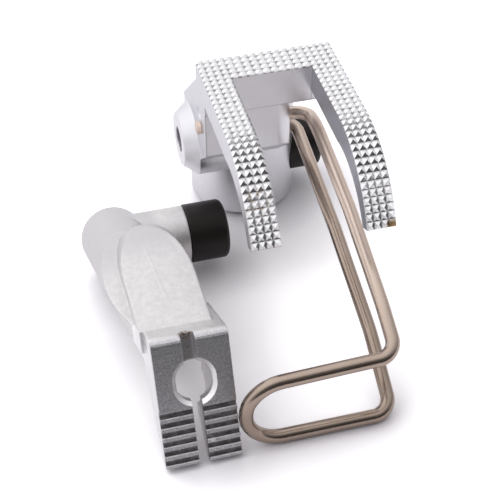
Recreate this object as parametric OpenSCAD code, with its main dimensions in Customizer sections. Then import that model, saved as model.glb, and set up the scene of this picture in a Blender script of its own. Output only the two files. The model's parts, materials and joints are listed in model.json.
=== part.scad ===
// Walking-foot presser-foot set of an upholstery sewing machine, lying upside down on a bench.
// The knurled outer foot stands on the end of its shank, sole up, with its wire finger guard in front.
// The inner foot leans beside it on the tip of its sole and the rim of its tube.
// Millimetres, +Z up, the bench is z = 0, the toes point to -Y.
// The origin is the centre of the outer foot's bar bore, where it opens on the bench.

/* [Outer foot] */
// Width of the sole over both legs
sole_w = 20.4; // [18.5:0.1:23]
// Width of each leg of the sole
leg_w = 4.2; // [3.4:0.1:4.6]
// Length of the flat part of the sole
flat_l = 17.8; // [15.5:0.1:20]
// Length of the turned-up toes, along the bend
toe_l = 18.4; // [14:0.1:20.5]
// Radius of the toes' bend, on the sole
toe_r = 15.8; // [14:0.1:20]
// Depth of the cross bar that joins the legs
bar_d = 5.2; // [4:0.1:6.4]
// Thickness of the legs at the cross bar
leg_t = 4.7; // [4:0.1:5.4]
// Thickness of the toes at their tips
tip_t = 2.3; // [1.6:0.1:3]
// Height of the sole over the end of the shank
foot_h = 33.6; // [32:0.1:38]
// Pitch of the knurl, both ways
knurl_pitch = 1.15; // [1:0.01:1.3]
// Depth of the knurl
knurl_d = 0.42; // [0.2:0.01:0.5]

/* [Outer shank] */
// Diameter of the shank
shank_d = 17; // [16:0.1:18.5]
// Diameter of the presser bar's bore
bar_bore_d = 8; // [7:0.1:8.6]
// Depth of the presser bar's bore
bar_bore_l = 14.4; // [13:0.1:14.6]
// Distance from the bar's axis forward to the sole's rear edge
bar_back = 10.5; // [10:0.1:11.5]
// Distance of the sole's middle from the bar's axis, across
bar_side = 1; // [0:0.1:1.6]
// Height of the clamp screw's axis over the end of the shank
clamp_z = 7.8; // [6.5:0.1:8.6]
// Diameter of the side boss
boss_d = 8.4; // [7.4:0.1:9]
// Diameter of the tapped hole in the side boss
boss_hole_d = 4.2; // [3.3:0.1:5]

/* [Finger guard] */
// Diameter of the guard's wire
wire_d = 2; // [1.6:0.1:2.2]
// Distance from the sole's rear edge forward to the guard's loop
guard_reach = 45; // [42:0.5:50]
// Length of the guard's loop, across
loop_l = 21; // [19:0.5:22.5]
// Height of the guard's loop between wire centres
loop_h = 10.8; // [9:0.1:12]
// Inner radius of the guard's bends
bend_r = 1.6; // [1.2:0.1:2.4]

/* [Inner foot] */
// Width of the inner foot's sole
inner_w = 10.6; // [9.6:0.1:11]
// Length of the inner foot's sole
inner_l = 18.4; // [17:0.1:20]
// Thickness at the inner foot's tip
inner_tip_t = 1.8; // [1.4:0.1:2.4]
// Width of the needle hole
needle_d = 5; // [4.2:0.1:5.4]
// Width of the thread slot
slot_w = 1.4; // [1.1:0.1:2]
// Number of grip grooves
groove_n = 6; // [4:1:6]
// Pitch of the grip grooves
groove_pitch = 1.36; // [1.2:0.01:1.4]
// Outer diameter of the tube
tube_d = 10; // [9.4:0.1:10.8]
// Diameter of the feed bar's bore
tube_bore_d = 6.4; // [5.6:0.1:6.8]
// Distance of the tube's end from the sole
tube_h = 38.5; // [36:0.1:41]
// Depth of the feed bar's bore
tube_bore_l = 18; // [14:0.5:19]

/* [Clamp screws] */
// Diameter of the screw heads
head_d = 9.2; // [8.5:0.1:10]
// Height of the screw heads
head_h = 6.2; // [5:0.1:6.5]
// Diameter of the screws' threaded shanks
thread_d = 5; // [4:0.1:5]
// Width across the flats of the hexagon sockets
hex_af = 5; // [4:0.1:5.5]
// Depth of the hexagon sockets
hex_l = 3; // [2:0.1:3.5]

/* [Hidden] */
$fn = 64;
eps = 0.01;
running_gap = 0.05;
wire_gap = 0.02;
wire_r = wire_d / 2;
lead_chamfer = 0.5;

// sole of the outer foot
// whole rows of the knurl in front of the cut row at its rear edge
bar_rows = round(bar_d / knurl_pitch - 0.5);
flat_rows = round(flat_l / knurl_pitch - 0.5);
toe_rows = round(toe_l / knurl_pitch);
bar_front = (bar_rows + 0.5) * knurl_pitch;
toe_start = (flat_rows + 0.5) * knurl_pitch;
rear_row = 0.85 * knurl_pitch;
gap_w = sole_w - 2 * leg_w;
wall_h = 6.4;
wall_step = 0.3;
web_bottom = 13.8;
web_foot = 8;
web_slope = 41;
web_side_gap = 2.6;
web_right = gap_w / 2 - web_side_gap;
web_corner_r = 2.4;
back_slope = 42;
back_top = 3;
shank_edge = 1.2;
past = 60;

// holes of the finger guard in the outer foot, from the sole's rear edge and down from the sole
upper_hole_y = -1.2;
upper_hole_z = -11.2;
lower_hole_y = 5.3;
lower_hole_z = -17.7;
notch_gap = 0.2;
stub = 0.6;
boss_out = 2.2;
boss_flare = 3.6;
boss_hole_l = 6.2;
stake_d = 2.2;
stake_l = 0.9;
stake_y = 0.4;
stake_z = 2.4;

// clamp screws
head_seat = 6.4;
spot_clear = 0.4;
inner_seat = 7.2;
inner_clamp_up = 5;
head_clear = 0.05;
tip_recess = 0.2;

// finger guard
guard_exit = 0.5;
guard_side = web_right + guard_exit + bend_r + wire_r;
loop_slope = 0.8;
upper_bows = [[0.12, 2.2], [0.5, 3], [0.85, 1.6]];
lower_bows = [[0.21, 2.8], [0.56, 2.5]];
bow_r = 12;
wire_end = 0.5;
wire_sides = 16;
bend_step = 15;

// inner foot
tube_x = -3.4;
tube_y = 22.6;
tube_back = 2.2;
flank_front = 13.3;
flank_top = 3.5;
flank_l = 12.5;
flank_angle = 21;
column_x = -0.85;
column_y = 23.3;
column_d = 10.1;
column_l = 22;
column_front = 3;
step_h = 4.4;
step_wall = 4;
tongue_run = 0.6;
rear_round = 1.2;
belly_h = 11.6;
hole_y = 11.65;
hole_stretch = 0.8;
hole_chamfer = 0.55;
pocket_depth = 1.8;
pocket_run = 2.4;
relief_x = -0.2;
relief_w = 1.9;
relief_d = 1.1;
groove_w = 0.75;
groove_d = 0.5;
first_groove = 0.45;
inner_boss_d = 9;
loop_gap = 0.9;
guard_ahead = 1.65;
tip_x = bar_side + guard_side - loop_l - inner_w / 2 - loop_gap;
tip_y = -bar_back - guard_reach - guard_ahead;
turn = 2.2;
spin = -1.6;
// the inner foot rests on the right corner of its tip and on the lowest point of its tube's end
lean = atan2(tube_h - inner_tip_t, (tube_x - inner_w / 2) * sin(spin) + tube_y * cos(spin) - tube_d / 2);
tip_z = inner_tip_t * cos(lean) - inner_w / 2 * sin(spin) * sin(lean);

// ---- wire ----------------------------------------------------------------
function unit(v) = v / norm(v);

// bend of centreline radius r at corner b of the route a-b-c, as places with their headings
function bend(a, b, c, r) =
  let (d1 = unit(b - a), d2 = unit(c - b), t = acos(d1 * d2), inward = unit(d2 - (d2 * d1) * d1))
  let (centre = b - r * tan(t / 2) * d1 + r * inward, steps = ceil(t / bend_step))
  [
    for (k = [0 : steps])
      let (q = t * k / steps)
        [centre + r * (sin(q) * d1 - cos(q) * inward), cos(q) * d1 + sin(q) * inward]
  ];

// route p with a bend of centreline radius r[i] at each inner point
function bent_route(p, r) =
  let (last = len(p) - 1)
  concat(
    [[p[0], unit(p[1] - p[0])]],
    [for (i = [1 : last - 1]) each bend(p[i - 1], p[i], p[i + 1], r[i])],
    [[p[last], unit(p[last] - p[last - 1])]]
  );

// round wire along stations of [place, heading], without twist
module wire(stations) {
  n = len(stations);
  sides = wire_sides;
  across = [
    for (i = 0, u = [0, 0, 1]; i < n; i = i + 1, u = (i < n) ? unit(u - (u * stations[i][1]) * stations[i][1]) : u) u
  ];
  points = [
    for (i = [0 : n - 1], j = [0 : sides - 1])
      let (u = across[i], v = cross(stations[i][1], u), a = 360 * j / sides)
        stations[i][0] + wire_r * (cos(a) * u + sin(a) * v)
  ];
  skin = [
    for (i = [0 : n - 2], j = [0 : sides - 1])
      let (a = i * sides + j, b = i * sides + (j + 1) % sides)
        each [[a, a + sides, b + sides], [a, b + sides, b]]
  ];
  ends = [[for (j = [0 : sides - 1]) j], [for (j = [sides - 1 : -1 : 0]) (n - 1) * sides + j]];
  polyhedron(points = points, faces = concat(skin, ends));
}

// ---- knurled sole --------------------------------------------------------
// point of the sole's side line, s along it and t below it
function sole_point(s, t) =
  s <= toe_start
    ? [-s, -t]
    : let (a = (s - toe_start) / toe_r * 180 / PI)
      [-toe_start - (toe_r - t) * sin(a), -toe_r + (toe_r - t) * cos(a)];

// thickness of a leg at s
function leg_thickness(s) =
  s <= toe_start ? leg_t : leg_t + (tip_t - leg_t) * (s - toe_start) / (toe_rows * knurl_pitch);

// place on the sole's line s, at x across and t below it
function place(x, s, t) = let (q = sole_point(s, t)) [x, q[0], q[1]];

// one tooth of the knurl: four facets from the grooves round it up to its point
function tooth(x0, x1, s0, s1) =
  let (a = place(x0, s0, knurl_d), b = place(x1, s0, knurl_d))
  let (c = place(x1, s1, knurl_d), d = place(x0, s1, knurl_d))
  let (point = place((x0 + x1) / 2, (s0 + s1) / 2, knurl_d * (1 - (s1 - s0) / knurl_pitch)))
  [[a, b, point], [b, c, point], [c, d, point], [d, a, point]];

function reversed(v) = [for (i = [len(v) - 1 : -1 : 0]) v[i]];

// lines that share the width from a to b into whole teeth
function columns(a, b) =
  let (n = max(1, round((b - a) / knurl_pitch))) [for (i = [0 : n]) a + (b - a) * i / n];

// faces of one leg, from the cross bar to the toe's tip
function leg_faces(xs, rows) =
  let (x0 = xs[0], x1 = xs[len(xs) - 1], n = len(rows) - 1, tip = rows[n])
  [
    for (k = [0 : n - 1])
      let (s0 = rows[k], s1 = rows[k + 1], t0 = leg_thickness(s0), t1 = leg_thickness(s1))
        each concat(
          [for (i = [0 : len(xs) - 2]) each tooth(xs[i], xs[i + 1], s0, s1)],
          [[place(x1, s1, knurl_d), place(x1, s0, knurl_d), place(x1, s0, t0), place(x1, s1, t1)]],
          [[place(x0, s0, knurl_d), place(x0, s1, knurl_d), place(x0, s1, t1), place(x0, s0, t0)]],
          [[place(x0, s0, t0), place(x0, s1, t1), place(x1, s1, t1), place(x1, s0, t0)]]
        ),
    concat(
      [place(x0, tip, leg_thickness(tip))],
      [for (x = xs) place(x, tip, knurl_d)],
      [place(x1, tip, leg_thickness(tip))]
    )
  ];

// faces of the cross bar; the legs grow out of its front face
// each face starts at a corner that none of its straight runs of points lines up with
function bar_faces(left, middle, right, rows) =
  let (half = sole_w / 2, inner = half - leg_w, n = len(rows) - 1, front = rows[n])
  let (rear = rows[0], low_rear = [place(-half, rear, wall_h), place(half, rear, wall_h)])
  let (low_front = [place(-half, front, wall_h), place(half, front, wall_h)])
  let (leg_outer = [place(-half, front, leg_t), place(half, front, leg_t)])
  let (leg_inner = [place(-inner, front, leg_t), place(inner, front, leg_t)])
  let (xs = concat(left, [for (i = [1 : len(middle) - 2]) middle[i]], right))
  [
    for (k = [0 : n - 1], i = [0 : len(xs) - 2]) each tooth(xs[i], xs[i + 1], rows[k], rows[k + 1]),
    concat([low_rear[1]], [for (x = reversed(xs)) place(x, rear, knurl_d)], [low_rear[0]]),
    concat([low_rear[1], low_front[1], leg_outer[1]], [for (s = reversed(rows)) place(half, s, knurl_d)]),
    concat([low_rear[0]], [for (s = rows) place(-half, s, knurl_d)], [leg_outer[0], low_front[0]]),
    [low_rear[0], low_front[0], low_front[1], low_rear[1]],
    [low_front[0], leg_outer[0], leg_inner[0], leg_inner[1], leg_outer[1], low_front[1]],
    concat([leg_inner[1], leg_inner[0]], [for (x = middle) place(x, front, knurl_d)])
  ];

// knurled U: a cut row of teeth at the rear edge, whole rows from there to the tips
module sole() {
  half = sole_w / 2;
  inner = half - leg_w;
  left = columns(-half, -inner);
  middle = columns(-inner, inner);
  right = columns(inner, half);
  bar = concat([0.5 * knurl_pitch - rear_row], [for (k = [0 : bar_rows]) (k + 0.5) * knurl_pitch]);
  legs = [for (k = [bar_rows : flat_rows + toe_rows]) (k + 0.5) * knurl_pitch];
  faces = concat(bar_faces(left, middle, right, bar), leg_faces(left, legs), leg_faces(right, legs));
  starts = [for (i = 0, n = 0; i < len(faces); n = n + len(faces[i]), i = i + 1) n];
  polyhedron(
    points = [for (f = faces) each f],
    faces = [for (i = [0 : len(faces) - 1]) [for (k = [0 : len(faces[i]) - 1]) starts[i] + k]]
  );
}

module slab(y0, y1, z0, z1, w) {
  translate([-w / 2, y0, z0]) cube([w, y1 - y0, z1 - z0]);
}

// ---- outer foot ----------------------------------------------------------
module sole_frame() {
  translate([bar_side, -bar_back, foot_h]) children();
}

// web between the cross bar and the shank: flush with the sole's left side, rounded at its front right
module web() {
  front = -bar_front + wall_step;
  corner = web_right - web_corner_r;
  difference() {
    translate([0, 0, -web_bottom - web_foot])
      linear_extrude(web_bottom + web_foot - wall_h / 2) {
        translate([-sole_w / 2, front]) square([sole_w / 2 + corner, bar_back - front]);
        translate([0, front + web_corner_r]) square([web_right, bar_back - front - web_corner_r]);
        translate([corner, front + web_corner_r]) circle(r = web_corner_r);
      }
    // sloping underside, back to the shank
    translate([0, -bar_front, -web_bottom]) rotate([-web_slope, 0, 0])
      translate([-past / 2, -past / 2, -past]) cube([past, past, past]);
  }
}

module shank() {
  cylinder(h = shank_edge, d1 = shank_d - 2 * shank_edge, d2 = shank_d);
  translate([0, 0, shank_edge]) cylinder(h = foot_h - shank_edge - back_top, d = shank_d);
}

// clear space over the sloping back of the web and the shank
module behind_web() {
  translate([0, 0, -back_top]) rotate([-back_slope, 0, 0]) translate([-past / 2, 0, 0]) cube([past, past, past]);
}

// round boss on the left side, flared at its root
module side_boss(face) {
  root = -sole_w / 2;
  rotate([0, 90, 0]) {
    translate([0, 0, face]) cylinder(h = root - face, d1 = boss_d, d2 = boss_d + boss_flare);
    translate([0, 0, root]) cylinder(h = -root, d = boss_d + boss_flare);
  }
}

// notch in the shank for the bend where the guard's lower wire leaves its hole
module bend_notch() {
  room = wire_r + notch_gap;
  translate([web_right, lower_hole_y - past, lower_hole_z - room]) cube([past, past + room, 2 * room]);
}

module outer_foot() {
  boss_face = -sole_w / 2 - boss_out;
  color([0.80, 0.80, 0.82])
  difference() {
    union() {
      sole_frame() {
        sole();
        difference() {
          union() {
            web();
            translate([0, lower_hole_y, lower_hole_z]) side_boss(boss_face);
          }
          behind_web();
        }
      }
      difference() {
        shank();
        sole_frame() behind_web();
      }
    }
    // presser bar
    translate([0, 0, -1]) cylinder(h = bar_bore_l + 1, d = bar_bore_d);
    // clamp screw's thread, and the spot face under its head
    translate([0, 0, clamp_z]) rotate([0, 90, 0])
      cylinder(h = shank_d, d = thread_d + 2 * running_gap);
    translate([head_seat, 0, clamp_z]) rotate([0, 90, 0])
      cylinder(h = shank_d, d = head_d + 2 * spot_clear);
    sole_frame() {
      // guard's upper wire, right across
      translate([-past / 2, upper_hole_y, upper_hole_z]) rotate([0, 90, 0])
        cylinder(h = past, d = wire_d + 2 * wire_gap);
      // guard's lower wire, into the tapped hole of the side boss
      translate([boss_face + boss_hole_l - eps, lower_hole_y, lower_hole_z]) rotate([0, 90, 0])
        cylinder(h = past, d = wire_d + 2 * wire_gap);
      translate([boss_face - 1, lower_hole_y, lower_hole_z]) rotate([0, 90, 0])
        cylinder(h = boss_hole_l + 1, d = boss_hole_d);
      bend_notch();
      // punch mark that stakes the upper wire
      translate([-sole_w / 2 - eps, upper_hole_y + stake_y, upper_hole_z + stake_z]) rotate([0, 90, 0])
        cylinder(h = stake_l, d1 = stake_d, d2 = stake_d / 3);
    }
  }
}

// ---- finger guard --------------------------------------------------------
// points of a strand from a to b: each bow is [share of the way, rise over the straight line]
function strand(a, b, bows) = [for (q = bows) a + q[0] * (b - a) + [0, 0, q[1]]];

module finger_guard() {
  side = guard_side;
  low_z = -foot_h + wire_r;
  loop_end = side - loop_l;
  upper_hole = [side, upper_hole_y, upper_hole_z];
  lower_hole = [side, lower_hole_y, lower_hole_z];
  upper_corner = [side, -guard_reach, low_z + loop_h + loop_slope];
  lower_corner = [side, -guard_reach, low_z];
  upper = strand(upper_hole, upper_corner, upper_bows);
  lower = strand(lower_corner, lower_hole, lower_bows);
  route = concat(
    [[-sole_w / 2 - stub, upper_hole_y, upper_hole_z], upper_hole],
    upper,
    [upper_corner, [loop_end, -guard_reach, low_z + loop_h], [loop_end, -guard_reach, low_z], lower_corner],
    lower,
    [lower_hole, [-sole_w / 2 - boss_out + boss_hole_l + wire_end, lower_hole_y, lower_hole_z]]
  );
  tight = bend_r + wire_r;
  round_end = loop_h / 2 - 0.1;
  radii = concat(
    [0, tight],
    [for (q = upper) bow_r],
    [tight, round_end, round_end, tight],
    [for (q = lower) bow_r],
    [tight, 0]
  );
  color([0.70, 0.62, 0.53])
  sole_frame() wire(bent_route(route, radii));
}

// ---- clamp screws --------------------------------------------------------
// cap screw along +Z: the head's seat is z = 0, the head above it, the thread below it
module clamp_screw(reach) {
  edge = 0.5;
  difference() {
    union() {
      translate([0, 0, -reach]) cylinder(h = reach + 1, d = thread_d);
      cylinder(h = head_h - edge, d = head_d);
      translate([0, 0, head_h - edge]) cylinder(h = edge, d1 = head_d, d2 = head_d - 2 * edge);
    }
    translate([0, 0, head_h - hex_l]) cylinder(h = hex_l + 1, d = hex_af / cos(30), $fn = 6);
  }
}

module outer_clamp_screw() {
  reach = head_seat + head_clear - bar_bore_d / 2 - tip_recess;
  color([0.10, 0.10, 0.11])
  translate([head_seat + head_clear, 0, clamp_z]) rotate([0, 90, 0]) clamp_screw(reach);
}

// ---- inner foot ----------------------------------------------------------
// frame of the inner foot: x across, y from the sole's tip to its rear, z out of the sole
module inner_frame() {
  translate([tip_x, tip_y, tip_z]) rotate([0, 0, turn]) rotate([lean, 0, 0]) rotate([0, 0, spin]) children();
}

// clear space behind the slanted flat at the rear of the inner foot, or behind a plane set forward of it
module behind_tongue(forward) {
  y0 = inner_l - forward;
  rotate([90, 0, 90]) translate([0, 0, -past / 2]) linear_extrude(past)
    polygon([
      [y0, 5], [y0, -step_h], [y0 + past * tongue_run, -step_h - past],
      [2 * past, -step_h - past], [2 * past, 5]
    ]);
}

module inner_sole() {
  round_y = inner_l - rear_round;
  rotate([90, 0, 90]) translate([0, 0, -inner_w / 2]) linear_extrude(inner_w)
    polygon(concat(
      [[0, 0]],
      [for (a = [90 : -15 : 0]) [round_y + rear_round * cos(a), -rear_round + rear_round * sin(a)]],
      [[inner_l, -step_h - step_wall], [inner_l, -belly_h], [0, -inner_tip_t]]
    ));
}

module inner_column() {
  translate([column_x, 0, -column_l])
    linear_extrude(column_l - step_h) {
      translate([0, column_y]) circle(d = column_d);
      translate([-column_d / 2, inner_l - column_front]) square([column_d, column_y - inner_l + column_front]);
    }
}

// left flank: runs from the sole's side out to the tube, touching the tube's round side
module flank() {
  side = -inner_w / 2;
  out = tube_x - tube_d / 2 * cos(flank_angle);
  low = -flank_top - flank_l;
  intersection() {
    translate([0, 0, -tube_h + tube_bore_l]) linear_extrude(tube_h)
      polygon([
        [side + 1, flank_front - 1 / tan(flank_angle)], [out, tube_y - tube_d / 2 * sin(flank_angle)],
        [out, tube_y], [tube_x, tube_y], [side + 1, inner_l - column_front]
      ]);
    rotate([90, 0, 0]) translate([0, 0, -past]) linear_extrude(past)
      polygon([[side + 1, -flank_top], [side, -flank_top], [out, low], [out, -past], [side + 1, -past]]);
  }
}

// the whole casting before its holes
module inner_casting(clamp_h) {
  difference() {
    union() {
      inner_sole();
      inner_column();
    }
    behind_tongue(0);
  }
  difference() {
    union() {
      translate([tube_x, tube_y, -tube_h]) cylinder(h = tube_h - step_h, d = tube_d);
      flank();
    }
    behind_tongue(tube_back);
  }
  translate([tube_x, tube_y, clamp_h]) rotate([0, 90, 0])
    cylinder(h = inner_seat - tube_x, d = inner_boss_d);
}

module inner_foot() {
  clamp_h = -tube_h + inner_clamp_up;
  color([0.84, 0.84, 0.85])
  inner_frame() difference() {
    inner_casting(clamp_h);
    // feed bar and its lead-in
    translate([tube_x, tube_y, -tube_h - 1]) cylinder(h = tube_bore_l + 1, d = tube_bore_d);
    translate([tube_x, tube_y, -tube_h - eps])
      cylinder(h = lead_chamfer, d1 = tube_bore_d + 2 * lead_chamfer, d2 = tube_bore_d);
    // clamp screw's thread
    translate([tube_x, tube_y, clamp_h]) rotate([0, 90, 0])
      cylinder(h = inner_seat - tube_x + 1, d = thread_d + 2 * running_gap);
    // needle hole, a little longer than wide, with a pocket below that reaches towards the tip
    for (dy = [-1, 1]) translate([0, hole_y + dy * hole_stretch / 2, 0]) {
      translate([0, 0, -past]) cylinder(h = past + 1, d = needle_d);
      translate([0, -pocket_run, -past]) cylinder(h = past - pocket_depth, d = needle_d);
      translate([0, 0, -hole_chamfer]) cylinder(h = 2 * hole_chamfer, d1 = needle_d, d2 = needle_d + 4 * hole_chamfer);
    }
    slab(hole_y - hole_stretch / 2, hole_y + hole_stretch / 2, -past, 1, needle_d);
    // thread slot out to the tip
    slab(-1, hole_y, -past, 1, slot_w);
    // relief groove back from the hole
    translate([relief_x, 0, 0]) slab(hole_y, inner_l + 1, -relief_d, 1, relief_w);
    // grip grooves
    for (k = [0 : groove_n - 1]) {
      y0 = first_groove + k * groove_pitch;
      slab(y0, y0 + groove_w, -groove_d, 1, inner_w + 2);
    }
  }
}

module inner_clamp_screw() {
  reach = inner_seat + head_clear - tube_x - tube_bore_d / 2 - tip_recess;
  color([0.10, 0.10, 0.11])
  inner_frame() translate([inner_seat + head_clear, tube_y, -tube_h + inner_clamp_up])
    rotate([0, 90, 0]) clamp_screw(reach);
}

outer_foot();
finger_guard();
outer_clamp_screw();
inner_foot();
inner_clamp_screw();
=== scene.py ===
"""Looks of a walking-foot presser-foot set lying upside down on a white bench. Metres, +Z up."""
import json
import math

import bmesh
import bpy
import numpy as np
from mathutils import Matrix, Vector


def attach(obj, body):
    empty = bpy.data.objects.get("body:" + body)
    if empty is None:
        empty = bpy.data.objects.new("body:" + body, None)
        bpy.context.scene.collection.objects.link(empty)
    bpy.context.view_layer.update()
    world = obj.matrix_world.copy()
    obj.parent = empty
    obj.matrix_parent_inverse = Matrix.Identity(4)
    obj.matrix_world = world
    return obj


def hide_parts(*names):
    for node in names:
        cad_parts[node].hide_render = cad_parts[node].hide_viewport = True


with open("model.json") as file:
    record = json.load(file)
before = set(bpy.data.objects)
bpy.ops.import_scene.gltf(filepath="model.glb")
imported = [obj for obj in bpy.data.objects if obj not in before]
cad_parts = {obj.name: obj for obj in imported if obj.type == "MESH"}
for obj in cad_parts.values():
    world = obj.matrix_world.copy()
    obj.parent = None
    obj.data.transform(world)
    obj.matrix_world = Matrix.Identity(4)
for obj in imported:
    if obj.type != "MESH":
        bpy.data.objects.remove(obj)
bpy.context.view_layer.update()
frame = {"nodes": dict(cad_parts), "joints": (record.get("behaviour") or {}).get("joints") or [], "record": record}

MM = 0.001

# ---- outer foot, in millimetres: X across, Y from the toes to the rear, Z out of the sole ----
SOLE_AT = (1.0, -10.5, 33.6)  # middle of the sole's rear edge, from the presser bar's axis and the bench
SOLE_W, LEG_W, FLAT_L, TOE_R = 20.4, 4.2, 17.825, 15.8
LEG_INSIDE, LEG_OUTSIDE = SOLE_W / 2 - LEG_W, SOLE_W / 2
KNURL_PITCH, LEG_PITCH, BAR_PITCH = 1.15, 1.05, 1.2
SHANK_TOP = -16.0

# ---- finger guard ----
WIRE_R, BEND_R, BOW_R, GUARD_SIDE = 1.0, 1.6, 12.0, 6.5
GUARD_REACH, LOOP_L, LOOP_H, LOOP_SLOPE = 45.0, 21.0, 10.8, 0.8
UPPER_HOLE, LOWER_HOLE = (-1.2, -11.2), (5.3, -17.7)
STUB, BOSS_OUT, BOSS_HOLE_L, LOWER_END_L = 0.6, 2.2, 6.2, 0.5
UPPER_BOWS = [(0.12, 2.2), (0.5, 3.0), (0.85, 1.6)]  # share of the way, rise over the straight line
LOWER_BOWS = [(0.21, 2.8), (0.56, 2.5)]

# ---- clamp screws ----
HEAD_R, HEAD_H, HEAD_EDGE, HEAD_FOOT = 4.6, 6.2, 0.8, 0.25
THREAD_R, THREAD_PITCH, THREAD_DEPTH = 2.5, 0.8, 0.38
CREST_R, NECK_R, TIP_R, TIP_EDGE_R = THREAD_R - 0.02, THREAD_R - 0.05, THREAD_R - 0.5, THREAD_R - 0.12
TIP_L, THREAD_FROM, THREAD_TO, NECK_FROM = 0.4, 0.5, -0.3, -0.1  # the first two from the screw's end
HEX_AF, HEX_DEPTH, HEX_EDGE = 5.0, 3.0, 0.25
OUTER_REACH = 6.45 - 4.0 - 0.2  # from the seat to just short of the presser bar's bore
INNER_REACH = 7.25

# ---- inner foot: X along its clamp screw, Y from the tip to the rear, Z out of the sole ----
INNER_L, HOLE_Y = 18.4, 11.65
FIRST_GROOVE, GROOVE_PITCH, GROOVES_END = 0.45, 1.36, 8.4
CLAMP_AT = (7.25, 22.6, -33.5)

# ---- light: level of the room, how much it rises to its bright side, how dark its opening is ----
ROOM, SLOPE, OPENING = 0.76, 0.60, 0.86
BRIGHT_SIDE = (-0.58, 0.36, 0.73)
OPEN_FROM, OPEN_TO = 0.2, 0.85
ROOM_TINT = (0.985, 0.98, 1.0, 1)
BENCH_SIDE, BENCH_FRONT = 3.0, -0.12

# ---- camera ----
RIGHT, UP, LOOK = (0.9678, -0.2517, -0.0100), (0.1758, 0.6466, 0.7423), (0.1803, 0.7201, -0.6700)
CAMERA_AT = (-40.58, -167.02, 140.20)
SENSOR, FOCAL_PX, FRAME_PX = 36.0, 1300, 500


# ---- shader maths ----------------------------------------------------------
class Graph:
    """A node tree, with the one method that adds a node to it."""

    def __init__(self, tree):
        self.tree = tree

    def node(self, kind, settings=(), values=()):
        """A node of that kind: its settings first, then its values and links."""
        node = self.tree.nodes.new(kind)
        for key, setting in dict(settings).items():
            setattr(node, key, setting)
        for key, value in dict(values).items():
            self.put(node.inputs[key], value)
        return node

    def put(self, slot, value):
        """Links a slot to a value or a socket, or sets the slot's own value."""
        if isinstance(value, Val):
            value = value.socket
        if isinstance(value, bpy.types.NodeSocket):
            self.tree.links.new(value, slot)
        else:
            slot.default_value = value

    def axes(self, where):
        """The X, Y and Z values of where."""
        split = self.node("ShaderNodeSeparateXYZ", values={"Vector": where})
        return [Val(self, out) for out in split.outputs]

    def seen(self, ray):
        """1 for rays of that kind, 0 for the others."""
        return Val(self, self.node("ShaderNodeLightPath").outputs[ray])


class Val:
    """A value socket of a graph: expressions on it add Math nodes."""

    def __init__(self, graph, socket):
        self.graph, self.socket = graph, socket

    def _math(self, op, *terms):
        node = self.graph.node("ShaderNodeMath", {"operation": op}, enumerate(terms))
        return Val(self.graph, node.outputs[0])

    def __add__(self, o):
        return self._math("ADD", self, o)

    def __radd__(self, o):
        return self._math("ADD", o, self)

    def __sub__(self, o):
        return self._math("SUBTRACT", self, o)

    def __rsub__(self, o):
        return self._math("SUBTRACT", o, self)

    def __neg__(self):
        return self._math("SUBTRACT", 0.0, self)

    def __mul__(self, o):
        return self._math("MULTIPLY", self, o)

    def __rmul__(self, o):
        return self._math("MULTIPLY", o, self)

    def __pow__(self, o):
        return self._math("POWER", self, o)

    def __abs__(self):
        return self._math("ABSOLUTE", self)

    def fract(self):
        return self._math("FRACT", self)

    def least(self, o):
        return self._math("MINIMUM", self, o)

    def most(self, o):
        return self._math("MAXIMUM", self, o)

    def angle(self, o):
        """Angle in radians of the direction that goes o along and self up."""
        return self._math("ARCTAN2", self, o)

    def step(self, start, end):
        """0 before start, 1 past end, and a smooth rise between them. It falls where start is the larger."""
        ramp = {"interpolation_type": "SMOOTHSTEP"}
        node = self.graph.node("ShaderNodeMapRange", ramp, enumerate((self, start, end, 0.0, 1.0)))
        return Val(self.graph, node.outputs[0])

    def between(self, low, high, soft):
        """1 from low to high, 0 outside, over a soft edge."""
        return self.step(low - soft, low + soft) * (1 - self.step(high - soft, high + soft))


class Finish(Graph):
    """A material with one Principled shader."""

    def __init__(self, name, fixed=()):
        self.material = bpy.data.materials.new(name)
        self.material.use_nodes = True
        super().__init__(self.material.node_tree)
        self.shader = self.tree.nodes["Principled BSDF"]
        for key, value in dict(fixed).items():
            self.feed(key, value)
        self.place = self.node("ShaderNodeTexCoord").outputs["Object"]

    def feed(self, key, value):
        """Links or sets one of the shader's sockets."""
        self.put(self.shader.inputs[key], value)

    def millimetres(self, at):
        """Object coordinates in millimetres in the frame whose matrix is at."""
        values = {"Vector": self.place, "Location": at.to_translation(), "Rotation": at.to_euler()}
        values["Scale"] = (MM, MM, MM)
        return self.node("ShaderNodeMapping", {"vector_type": "TEXTURE"}, values).outputs[0]

    def noise(self, size, detail=3.0, roughness=0.5, where=None):
        """Noise from 0 to 1 with grains of about size, in metres, or in the units of where."""
        values = {"Vector": where or self.place, "Scale": 1 / size, "Detail": detail, "Roughness": roughness}
        return Val(self, self.node("ShaderNodeTexNoise", values=values).outputs[0])

    def mix(self, share, a, b):
        """Colour a where share is 0, b where it is 1."""
        a, b = [c if isinstance(c, bpy.types.NodeSocket) else (*c, 1) for c in (a, b)]
        return self.node("ShaderNodeMix", {"data_type": "RGBA"}, {0: share, 6: a, 7: b}).outputs[2]

    def rounded(self, radius):
        """The normal over edges that are rounded by radius metres."""
        return self.node("ShaderNodeBevel", {"samples": 8}, {"Radius": radius}).outputs[0]

    def blend_normals(self, share, a, b):
        """Normal a where share is 0, b where it is 1."""
        return self.node("ShaderNodeMix", {"data_type": "VECTOR"}, {0: share, 4: a, 5: b}).outputs[1]

    def relief(self, height, distance, strength, normal=None):
        """Bump from a height of 0 to 1, on top of a normal."""
        values = {"Height": height, "Distance": distance, "Strength": strength}
        if normal:
            values["Normal"] = normal
        self.feed("Normal", self.node("ShaderNodeBump", values=values).outputs[0])


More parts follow.
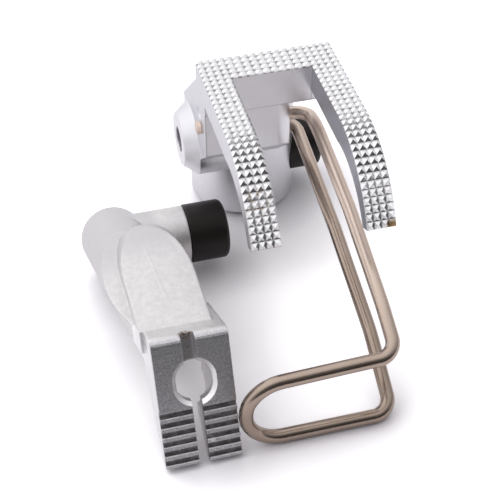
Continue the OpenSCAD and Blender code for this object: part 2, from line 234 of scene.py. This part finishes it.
# ---- frames of the two feet --------------------------------------------------
def inner_frame():
    """Frame of the inner foot, from the axis of its clamp screw and the axis of its bore."""
    clamp = next(j for j in frame["joints"] if j["name"] == "inner_clamp_turn")
    bore = next(m for m in frame["record"]["mounts"] if m["name"] == "feed_bar_bore")
    x = Vector(clamp["axis"]).normalized()
    z = -Vector(bore["axis"]).normalized()
    y = z.cross(x)
    origin = Vector(clamp["pos_m"]) - MM * (CLAMP_AT[0] * x + CLAMP_AT[1] * y + CLAMP_AT[2] * z)
    return Matrix([(x[i], y[i], z[i], origin[i]) for i in range(3)] + [(0, 0, 0, 1)])


OUTER, INNER = Matrix.Translation(Vector(SOLE_AT) * MM), inner_frame()


# ---- finishes --------------------------------------------------------------
def near(place, axes, reach, soft):
    """1 within reach millimetres of place, 0 beyond reach + soft."""
    away = sum((a - p) * (a - p) for a, p in zip(axes, place)) ** 0.5
    return 1 - away.step(reach, reach + soft)


def knurl_depth(y, z):
    """Depth below the knurl's crests in millimetres: below a plane, and inside an arc over the toes."""
    over = (y + FLAT_L).least(0.0)
    return TOE_R - (over * over + (z + TOE_R) * (z + TOE_R)) ** 0.5


def off_lines(v, pitch, shift=0.0):
    """Distance of v from the nearest of the lines that are a pitch apart."""
    return (0.5 - abs(((v + shift) * (1 / pitch)).fract() - 0.5)) * pitch


def knurl_crossings(x, y, z):
    """1 where the knurl's valleys cross. Over the toes the rows are a pitch of the arc's length apart."""
    leg = abs(x).step(LEG_INSIDE - 0.01, LEG_INSIDE + 0.01)
    columns = off_lines(abs(x), LEG_PITCH, -LEG_INSIDE) * leg + off_lines(x, BAR_PITCH) * (1 - leg)
    over = (-y - FLAT_L).most(0.0)
    run = (-y).least(FLAT_L) + over.angle(z + TOE_R) * TOE_R
    rows = off_lines(run, KNURL_PITCH, KNURL_PITCH / 2)
    return columns.step(0.34, 0.14) * rows.step(0.32, 0.12)


def satin_nickel():
    """Bright satin plating: painted shade in the knurl's valleys and where they cross, painted shade greying the
    legs' side walls, bright crests, rust on the toes.
    """
    plate_low, plate_high, bright = (0.70, 0.695, 0.72), (0.79, 0.785, 0.81), (0.88, 0.875, 0.885)
    outer_wall_shade_grey, inner_wall_shade_grey = (0.64, 0.64, 0.67), (0.54, 0.545, 0.59)
    valley_shade_grey, rust_brown = (0.14, 0.13, 0.135), (0.34, 0.235, 0.11)
    left_stain, right_corner = (-8.2, -28.2, -4.2), (9.7, -32.2, -9.5)
    round_plain, round_crest, grain_height = 0.35 * MM, 0.06 * MM, 0.02 * MM

    f = Finish("satin_nickel", {"Metallic": 1.0})
    where = f.millimetres(OUTER)
    x, y, z = f.axes(where)
    grain = f.noise(0.25, detail=2.0, where=where)
    cloud = f.noise(5.0, detail=2.0, where=where)
    speck = f.noise(0.8, detail=3.0, where=where)
    sole = z.step(SHANK_TOP, SHANK_TOP + 1.0)
    depth = knurl_depth(y, z)
    knurl = depth.step(0.6, 0.45) * sole

    flat = y.step(-24.0, -19.0)
    # painted shade: dots where the knurl's valleys cross, patchy, and stronger on the flat than over the toes
    shaded_crossings = knurl_crossings(x, y, z) * (0.6 + 0.4 * speck.step(0.40, 0.55)) * (0.45 + 0.55 * flat)
    # painted shade: the deepest parts of the knurl's valleys, patchy
    lines = depth.step(0.28, 0.42) * (0.06 + 0.34 * speck.step(0.46, 0.60))
    valley_shade = lines.most(shaded_crossings) * knurl
    stain = near(left_stain, (x, y, z), 0.8, 2.4) * speck.step(0.50, 0.62) * depth.step(0.1, 0.3)
    rust = near(right_corner, (x, y, z), 0.5, 0.9) * speck.step(0.30, 0.45) + stain * 0.6

    # painted shade: the legs' outer side walls are greyed, and their inner walls, which face each other across the
    # gap, greyer still
    inside = abs(x).between(LEG_INSIDE - 0.1, LEG_INSIDE + 0.1, 0.05) * sole
    outside = abs(x).between(LEG_OUTSIDE - 0.1, LEG_OUTSIDE + 0.1, 0.05) * sole
    plate = f.mix(outside, f.mix(cloud, plate_low, plate_high), outer_wall_shade_grey)
    plate = f.mix(knurl, f.mix(inside, plate, inner_wall_shade_grey), bright)
    # the knurl's painted valley shade goes into the colour here, as do the real stain and rust
    f.feed("Base Color", f.mix(rust, f.mix(valley_shade * 0.85, plate, valley_shade_grey), rust_brown))
    f.feed("Roughness", 0.26 + 0.10 * cloud + 0.06 * grain - 0.10 * knurl + 0.3 * rust)
    edges = f.blend_normals(knurl, f.rounded(round_plain), f.rounded(round_crest))
    f.relief(grain, grain_height, 0.6, edges)
    return f.material


def blasted_casting():
    """Blasted casting, ground on the sole: painted shade in the grooves, the gutter and on the tube, painted
    highlights on the rib edges, the needle hole's chamfer and the sole's side walls, a parting line runs down the
    column.
    """
    cast_low, cast_high, tube_shade_grey = (0.675, 0.662, 0.66), (0.78, 0.767, 0.76), (0.60, 0.593, 0.60)
    bare_low, bare_high = (0.52, 0.515, 0.53), (0.72, 0.71, 0.73)
    highlight_white, lit_side_white, highlight_and_chip_white = (0.95, 0.94, 0.95), (0.90, 0.89, 0.90), (0.97, 0.96, 0.97)
    gutter_shade_brown, pit_black, groove_shade_black = (0.24, 0.215, 0.20), (0.10, 0.09, 0.09), (0.16, 0.15, 0.155)
    rust_brown = (0.22, 0.15, 0.10)
    rust_at, chip_at = (-0.3, INNER_L + 0.1, -0.8), (1.5, 3.1, 0.0)
    round_cast, round_ground, cast_height = 0.45 * MM, 0.08 * MM, 0.11 * MM
    line_x, line_y, line_lean = -1.5, 24.9, 0.17

    f = Finish("blasted_casting", {"Metallic": 1.0})
    where = f.millimetres(INNER)
    x, y, z = f.axes(where)
    grain = f.noise(0.28, where=where)
    cloud = f.noise(0.9, detail=4.0, roughness=0.6, where=where)
    pits = f.noise(0.45, detail=1.0, where=where).step(0.73, 0.78)
    ground = z.step(-1.4, -1.0) * (1 - y.step(INNER_L - 0.35, INNER_L - 0.05))
    tube = z.step(-14.0, -20.0) * x.step(3.5, 1.5)

    ribs = y.step(GROOVES_END, GROOVES_END - 0.4) * z.step(-1.0, -0.7)
    off_groove = ((y - FIRST_GROOVE + 0.3) * (1 / GROOVE_PITCH)).fract() * GROOVE_PITCH - 0.3
    # painted shade: the groove floors between the sole's ribs are darkened, a little unevenly
    dark = ribs * z.step(-0.06, -0.16) * (0.75 + 0.25 * cloud.step(0.4, 0.6))
    # painted highlight: a bright line along each rib's edge on the tip side, patchy, also a little rougher
    edge = ribs * z.step(-0.14, -0.08) * off_groove.between(-0.16, 0.10, 0.05)
    lit_rib_edge = edge * (0.35 + 0.65 * cloud.step(0.3, 0.6))
    # painted shade: the relief groove behind the needle hole is darkened brownish, unevenly
    gutter_shade = (x + 0.2).between(-0.9, 0.55, 0.1) * z.between(-1.25, -0.15, 0.1) * y.step(HOLE_Y, HOLE_Y + 1.5)
    rust = near(rust_at, (x, y, z), 0.5, 0.9) * f.noise(0.35, where=where).step(0.35, 0.6)
    # painted highlight: the sole's side walls are whitened where they reflect the bright bench
    lit_side = abs(x).step(4.9, 5.1) * z.between(-8.0, -0.65, 0.1) * y.step(INNER_L + 0.1, INNER_L - 0.2)
    chip = near(chip_at, (x, y, z), 0.25, 0.35) * cloud.step(0.35, 0.5)
    # painted highlight: the needle hole's chamfer is whitened; the same white also marks a real chip in the sole
    from_hole = (x * x + (y - HOLE_Y) * (y - HOLE_Y)) ** 0.5
    chamfer_highlight = from_hole.between(2.35, 3.75, 0.1) * z.between(-0.62, -0.03, 0.02)
    chamfer_highlight = chamfer_highlight * y.step(INNER_L - 3.0, INNER_L - 3.6)

    # painted shade: the tube is greyed
    metal = f.mix(tube * 0.8, f.mix(cloud.step(0.25, 0.75), cast_low, cast_high), tube_shade_grey)
    metal = f.mix(ground, metal, f.mix(grain.step(0.3, 0.7), bare_low, bare_high))
    for share, colour in (
        (lit_rib_edge, highlight_white),
        (lit_side, lit_side_white),
        (chamfer_highlight, highlight_and_chip_white),
        (gutter_shade * (0.25 + 0.5 * cloud), gutter_shade_brown),
        (pits * (0.15 + 0.5 * ground), pit_black),
        (dark * 0.85, groove_shade_black),
        (chip, highlight_and_chip_white),
        (rust, rust_brown),
    ):
        metal = f.mix(share, metal, colour)
    f.feed("Base Color", metal)
    f.feed("Roughness", 0.38 + 0.10 * cloud + 0.08 * grain - 0.08 * ground + 0.25 * rust + 0.25 * lit_rib_edge)
    line = abs(x - line_x - (line_y - y) * line_lean).step(0.35, 0.0) * y.between(20.4, 26.5, 0.5)
    height = (grain * 0.4 + cloud * 0.6) * (1 - 0.6 * tube) + line * cloud * 0.5
    edges = f.blend_normals(ground, f.rounded(round_cast), f.rounded(round_ground))
    f.relief(height, cast_height, 0.7, edges)
    return f.material


def bronze_wire():
    """Drawn wire with a bronze tint, glossier near the bench, where painted shade also darkens it."""
    low, high = ((0.32, 0.25, 0.205), (0.41, 0.33, 0.27)), ((0.62, 0.505, 0.425), (0.72, 0.60, 0.515))
    f = Finish("bronze_wire", {"Metallic": 1.0})
    grain = f.noise(0.3 * MM)
    cloud = f.noise(4 * MM, detail=2.0)
    # painted shade: the wire is darkened where it runs low, near the bench
    rise = f.axes(f.place)[2].step(9 * MM, 23 * MM)
    f.feed("Base Color", f.mix(rise, f.mix(cloud, *low), f.mix(cloud, *high)))
    f.feed("Roughness", 0.13 + 0.08 * cloud + 0.08 * grain + 0.10 * rise)
    f.relief(grain, 0.01 * MM, 0.5)
    return f.material


def black_oxide():
    """Black oxide with a faint warm sheen."""
    f = Finish("black_oxide", {"Specular IOR Level": 0.33, "Specular Tint": (1.0, 0.92, 0.88, 1.0)})
    grain = f.noise(0.3 * MM)
    f.feed("Base Color", f.mix(grain, (0.005, 0.0045, 0.004), (0.010, 0.009, 0.0085)))
    f.feed("Roughness", 0.40 + 0.12 * grain)
    f.relief(grain, 0.02 * MM, 0.5)
    return f.material


def bench_white():
    """White bench: what the lens and the metal see of it is lifted to white, its shadows stay."""
    to_light, wide, close, lift = (-0.55, 0.35, 0.76), 20 * MM, 7 * MM, 0.75
    f = Finish("bench_white", {"Roughness": 0.7})
    cloud = f.noise(50 * MM, detail=1.0)
    f.feed("Base Color", f.mix(cloud, (0.80, 0.775, 0.81), (0.81, 0.785, 0.82)))
    normal = f.node("ShaderNodeCombineXYZ", values=enumerate(to_light)).outputs[0]

    def open_sky(distance, samples):
        """1 where nothing within the distance stands between the bench and the light, less where it does."""
        values = {"Distance": distance, "Normal": normal}
        return Val(f, f.node("ShaderNodeAmbientOcclusion", {"samples": samples}, values).outputs["AO"])

    seen = f.seen("Is Camera Ray") + 0.4 * f.seen("Is Glossy Ray")
    strength = seen * (open_sky(wide, 16) ** 2.2 * open_sky(close, 8) ** 1.2) * lift
    glow = f.node("ShaderNodeEmission", values={"Color": (1, 1, 1, 1), "Strength": strength}).outputs[0]
    both = f.node("ShaderNodeAddShader", values={0: f.shader.outputs[0], 1: glow}).outputs[0]
    f.put(f.tree.nodes["Material Output"].inputs[0], both)
    return f.material


NICKEL, CASTING, BRONZE, BLACK = satin_nickel(), blasted_casting(), bronze_wire(), black_oxide()


# ---- meshes ----------------------------------------------------------------
def mesh_object(name, verts, faces, material):
    """A smooth mesh of one material, from its points and faces."""
    mesh = bpy.data.meshes.new(name)
    mesh.from_pydata(np.asarray(verts, float).reshape(-1, 3), [], faces)
    mesh.materials.append(material)
    mesh.shade_smooth()
    obj = bpy.data.objects.new(name, mesh)
    bpy.context.scene.collection.objects.link(obj)
    return obj


def weld(obj):
    """Joins the points that meet at a pole, and turns the faces outwards."""
    mesh = bmesh.new()
    mesh.from_mesh(obj.data)
    bmesh.ops.remove_doubles(mesh, verts=mesh.verts, dist=1e-7)
    bmesh.ops.recalc_face_normals(mesh, faces=mesh.faces)
    mesh.to_mesh(obj.data)
    mesh.free()


def ring_faces(rings, sides):
    """Faces between neighbouring rings of points, each ring closed on itself."""
    i, j = np.meshgrid(np.arange(rings - 1), np.arange(sides), indexing="ij")
    a, b = i * sides + j, i * sides + (j + 1) % sides
    return np.stack([a, b, b + sides, a + sides], axis=-1).reshape(-1, 4).tolist()


def placed(points, at):
    """Points in millimetres in the frame whose matrix is at, as metres in the scene."""
    at = np.array(at)
    return points * MM @ at[:3, :3].T + at[:3, 3]


def unit(v):
    """v at a length of 1."""
    return v / np.linalg.norm(v)


def bend(a, b, c, radius):
    """Arc at corner b of the route a-b-c. From its centre, a point lies the radius times sin q along the
    way in, less the radius times cos q along the inward side, for q from 0 to the corner's turn."""
    d1, d2 = unit(b - a), unit(c - b)
    turn = math.acos(np.clip(d1 @ d2, -1, 1))
    inward = unit(d2 - (d2 @ d1) * d1)
    centre = b - radius * math.tan(turn / 2) * d1 + radius * inward
    q = np.linspace(0, turn, 3 + int(turn / 0.12))[:, None]
    return centre + radius * (np.sin(q) * d1 - np.cos(q) * inward)


def guard_route():
    """Route of the guard's wire in the sole's frame: straight runs joined by bends."""
    low = WIRE_R - SOLE_AT[2]
    loop_end = GUARD_SIDE - LOOP_L
    upper_end = -LEG_OUTSIDE - STUB
    lower_end = -LEG_OUTSIDE - BOSS_OUT + BOSS_HOLE_L + LOWER_END_L
    holes = [np.array((GUARD_SIDE, *UPPER_HOLE)), np.array((GUARD_SIDE, *LOWER_HOLE))]
    corners = [np.array((GUARD_SIDE, -GUARD_REACH, low + h)) for h in (LOOP_H + LOOP_SLOPE, 0)]

    def strand(a, b, bows):
        """Corners on the way from a to b, each a share of the way along and raised by its rise."""
        return [a + share * (b - a) + np.array((0, 0, rise)) for share, rise in bows]

    upper, lower = strand(holes[0], corners[0], UPPER_BOWS), strand(corners[1], holes[1], LOWER_BOWS)
    loop = [np.array((loop_end, -GUARD_REACH, low + h)) for h in (LOOP_H, 0)]
    route = [np.array((upper_end, *UPPER_HOLE)), holes[0], *upper, corners[0], *loop, corners[1], *lower]
    route += [holes[1], np.array((lower_end, *LOWER_HOLE))]
    tight, round_end = BEND_R + WIRE_R, LOOP_H / 2 - 0.1
    radii = [tight, *[BOW_R] * len(upper), tight, round_end, round_end, tight, *[BOW_R] * len(lower), tight]
    arcs = [bend(*route[i : i + 3], r) for i, r in enumerate(radii)]
    return np.concatenate([route[:1], *arcs, route[-1:]])


def swept_wire(name, route, radius, at, material, sides=28):
    """Round wire with flat ends. A ring's point is its station of the route plus the radius times cos a
    along u and sin a along v: both are square to the wire, and u is carried along it without twist."""
    heading = np.gradient(route, axis=0)
    heading /= np.linalg.norm(heading, axis=1)[:, None]
    u = np.empty_like(route)
    u[0] = (0, 0, 1)
    for i in range(1, len(route)):
        u[i] = unit(u[i - 1] - (u[i - 1] @ heading[i]) * heading[i])
    v = np.cross(heading, u)
    a = np.linspace(0, 2 * math.pi, sides, endpoint=False)[None, :, None]
    rings = route[:, None] + radius * (np.cos(a) * u[:, None] + np.sin(a) * v[:, None])
    last = (len(route) - 1) * sides
    faces = ring_faces(len(route), sides)
    faces += [list(range(sides))[::-1], list(range(last, last + sides))]
    obj = mesh_object(name, placed(rings.reshape(-1, 3), at), faces, material)
    weld(obj)
    return obj


def screw(name, joint, reach, material, sides=96):
    """Cap screw of rings: a ring's point is at radius r and angle a round the axis, z above the seat.
    On the thread, r falls from the crest by a triangle wave of z over the pitch less a over a full turn.
    The head's upper edge is a quarter round. In the socket, r is half the width across the flats over
    the cosine of the angle from the middle of the nearest flat."""
    a = np.linspace(0, 2 * math.pi, sides, endpoint=False)
    arc = np.linspace(0, math.pi / 2, 7)

    def turned(radii, heights):
        """Rings with a radius and a height each: one number a ring, or one for each of its sides."""
        r, z = [np.asarray(v, float).reshape(len(v), -1) + np.zeros(sides) for v in (radii, heights)]
        return np.stack([r * np.cos(a), r * np.sin(a), z], axis=-1)

    tip = turned([0.0, TIP_R, TIP_EDGE_R], [-reach, -reach, -reach + TIP_L])
    z = np.arange(-reach + THREAD_FROM, THREAD_TO, THREAD_PITCH / 8)[:, None]
    wave = np.abs(((z / THREAD_PITCH - a / (2 * math.pi)) % 1) - 0.5) * 2
    thread = turned(CREST_R - THREAD_DEPTH * wave, z)
    neck = turned([NECK_R, NECK_R, HEAD_R - HEAD_FOOT, HEAD_R], [NECK_FROM, 0.0, 0.0, HEAD_FOOT])
    edge = turned(HEAD_R - HEAD_EDGE * (1 - np.cos(arc)), HEAD_H - HEAD_EDGE * (1 - np.sin(arc)))
    flats = (HEX_AF / 2) / np.cos((a + math.pi / 6) % (math.pi / 3) - math.pi / 6)
    floor = HEAD_H - HEX_DEPTH
    socket = turned([flats + HEX_EDGE, flats, flats, 0 * a], [HEAD_H, HEAD_H - HEX_EDGE, floor, floor])
    rings = np.concatenate([tip, thread, neck, edge, socket])

    turn = Vector(joint["axis"]).normalized().to_track_quat("Z", "Y").to_matrix().to_4x4()
    points = placed(rings.reshape(-1, 3), Matrix.Translation(joint["pos_m"]) @ turn)
    obj = mesh_object(name, points, ring_faces(len(rings), sides), material)
    weld(obj)
    obj.data.set_sharp_from_angle(angle=math.radians(40))
    return obj


# ---- the set -----------------------------------------------------------------
def dress(node, material):
    """Gives a CAD node that material."""
    for slot in frame["nodes"][node].material_slots:
        slot.material = material


def stand_for(obj, node, body):
    """Puts a new piece in a CAD node's place, riding on the node's body."""
    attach(obj, body)
    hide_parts(node)


def presser_feet():
    """The two castings dressed, with the guard and both screws in place of the plain ones."""
    dress("outer_foot", NICKEL)
    dress("inner_foot", CASTING)
    wire = swept_wire("guard_wire", guard_route(), WIRE_R, OUTER, BRONZE)
    stand_for(wire, "finger_guard", "outer_foot_with_guard")
    joints = {j["name"]: j for j in frame["joints"]}
    outer = screw("outer_cap_screw", joints["outer_clamp_turn"], OUTER_REACH, BLACK)
    stand_for(outer, "outer_clamp_screw", "outer_screw")
    inner = screw("inner_cap_screw", joints["inner_clamp_turn"], INNER_REACH, BLACK)
    stand_for(inner, "inner_clamp_screw", "inner_screw")


# ---- bench, light and camera -----------------------------------------------
def bench():
    """A flat bench, from about 60 mm before the guard's loop to far behind the feet."""
    side, front = BENCH_SIDE, BENCH_FRONT
    corners = [(-side, front, 0), (side, front, 0), (side, side, 0), (-side, side, 0)]
    mesh_object("bench", corners, [(0, 1, 2, 3)], bench_white())


def world_light():
    """A white room, brightest high up at the back left, with a dark opening at the front."""
    world = bpy.data.worlds.new("room")
    world.use_nodes = True
    bpy.context.scene.world = world
    g = Graph(world.node_tree)
    x, y, z = g.axes(g.node("ShaderNodeTexCoord").outputs["Generated"])
    slope = x * BRIGHT_SIDE[0] + y * BRIGHT_SIDE[1] + z * BRIGHT_SIDE[2]
    opening = (-y).step(OPEN_FROM, OPEN_TO)
    bright = (ROOM + SLOPE * slope) * (1 - OPENING * opening)
    seen = g.seen("Is Camera Ray")
    back = g.tree.nodes["Background"]
    g.put(back.inputs["Strength"], bright * (1 - seen) + seen)
    g.put(back.inputs["Color"], ROOM_TINT)


def camera():
    """Camera at the viewing angle, from its right, up and look directions."""
    data = bpy.data.cameras.new("camera")
    data.sensor_width, data.lens, data.clip_start = SENSOR, SENSOR * FOCAL_PX / FRAME_PX, 0.01
    obj = bpy.data.objects.new("camera", data)
    rows = [(RIGHT[i], UP[i], -LOOK[i], CAMERA_AT[i] * MM) for i in range(3)]
    obj.matrix_world = Matrix(rows + [(0, 0, 0, 1)])
    bpy.context.scene.collection.objects.link(obj)
    bpy.context.scene.camera = obj


presser_feet()
bench()
world_light()
camera()
bpy.context.scene.view_settings.view_transform = "Standard"
